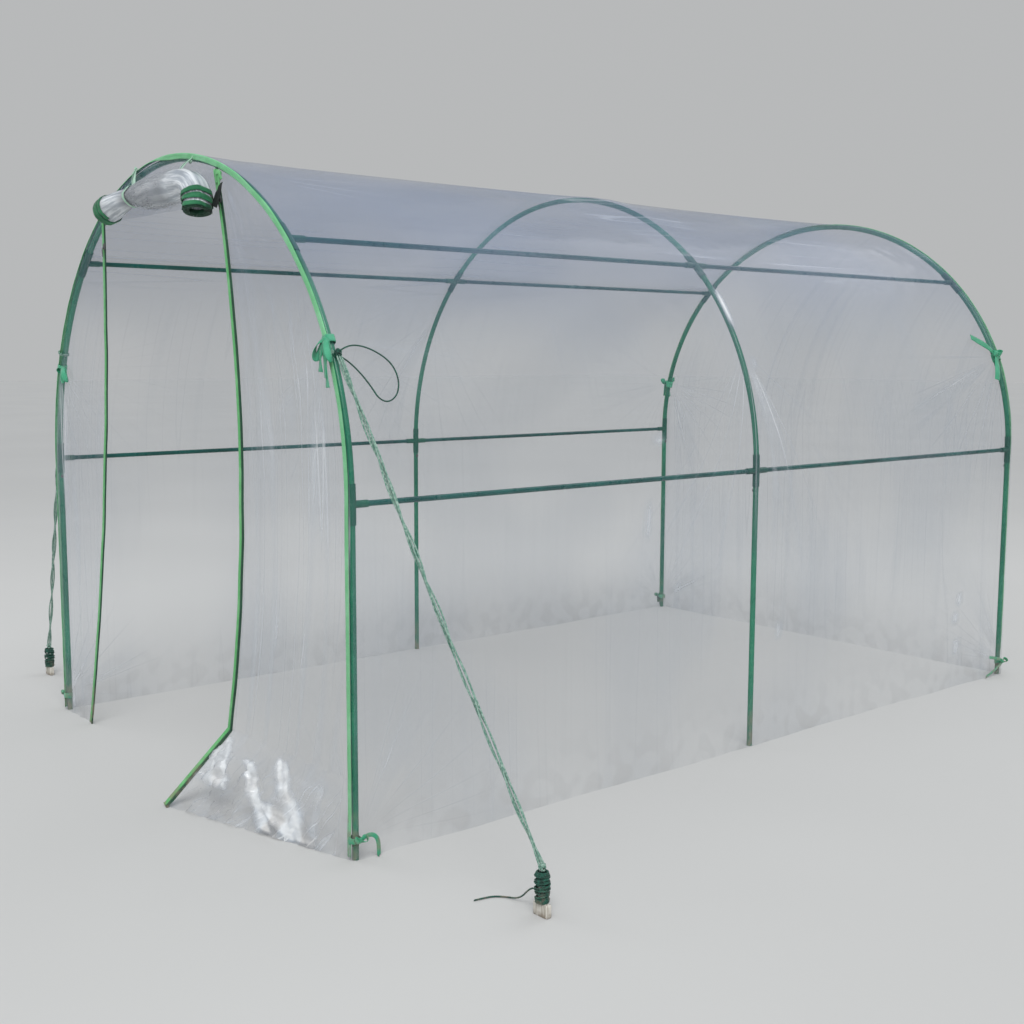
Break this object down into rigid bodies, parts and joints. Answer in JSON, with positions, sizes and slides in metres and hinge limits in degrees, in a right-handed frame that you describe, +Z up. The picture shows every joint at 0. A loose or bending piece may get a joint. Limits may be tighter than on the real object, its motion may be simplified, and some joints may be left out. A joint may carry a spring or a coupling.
{
  "type": "polytunnel greenhouse",
  "caption": "Walk-in garden polytunnel, 2.0 m wide and 3.3 m long: three green tube hoops, purlins, clear film cover, zipped door rolled up, two guy ropes.",
  "frame": {"origin": "on level ground, at the middle of the overall box of tunnel, skirt and guy stakes", "axes": "+X across to the right-hand side seen from the door end, +Y along the tunnel away from the door end, +Z up"},
  "size_m": [3.222, 3.5435, 1.9741],
  "materials": {
    "hoop_coat": "satin",
    "connector_coat": "satin",
    "purlin_coat": "satin",
    "clear_film": "gloss",
    "rolled_film": "gloss",
    "zip_tape": "matte",
    "hem_tape": "matte",
    "dark_tape": "matte",
    "ribbon": "satin",
    "rope": "matte",
    "dark_cord": "matte",
    "stake": "matte"
  },
  "bodies": {
    "root": {"door_header_film": "clear_film", "door_roll": "rolled_film", "door_roll_tapes": "dark_tape", "door_roll_ties": "ribbon", "front_connectors": "connector_coat", "front_crown_tube": "hoop_coat", "front_hem_tape": "hem_tape", "front_left_film": "clear_film", "front_left_leg": "hoop_coat", "front_left_lower_purlin": "purlin_coat", "front_left_shoulder_tube": "hoop_coat", "front_left_upper_purlin": "purlin_coat", "front_ribbon_ties": "ribbon", "front_right_film": "clear_film", "front_right_leg": "hoop_coat", "front_right_lower_purlin": "purlin_coat", "front_right_shoulder_tube": "hoop_coat", "front_right_upper_purlin": "purlin_coat", "front_skirt_film": "clear_film", "guy_stakes": "stake", "left_guy_rope": "rope", "left_shoulder_film": "clear_film", "left_wall_film": "clear_film", "left_zip": "zip_tape", "middle_connectors": "connector_coat", "middle_crown_tube": "hoop_coat", "middle_left_leg": "hoop_coat", "middle_left_shoulder_tube": "hoop_coat", "middle_right_leg": "hoop_coat", "middle_right_shoulder_tube": "hoop_coat", "rear_connectors": "connector_coat", "rear_crown_tube": "hoop_coat", "rear_film": "clear_film", "rear_hem_tape": "hem_tape", "rear_left_leg": "hoop_coat", "rear_left_lower_purlin": "purlin_coat", "rear_left_shoulder_tube": "hoop_coat", "rear_left_upper_purlin": "purlin_coat", "rear_ribbon_ties": "ribbon", "rear_right_leg": "hoop_coat", "rear_right_lower_purlin": "purlin_coat", "rear_right_shoulder_tube": "hoop_coat", "rear_right_upper_purlin": "purlin_coat", "right_guy_rope": "rope", "right_shoulder_film": "clear_film", "right_wall_film": "clear_film", "right_zip": "zip_tape", "roof_film": "clear_film", "spare_cord_loop": "dark_cord", "spare_cord_tail": "dark_cord", "stake_cord_wraps": "dark_cord"}
  },
  "joints": []
}
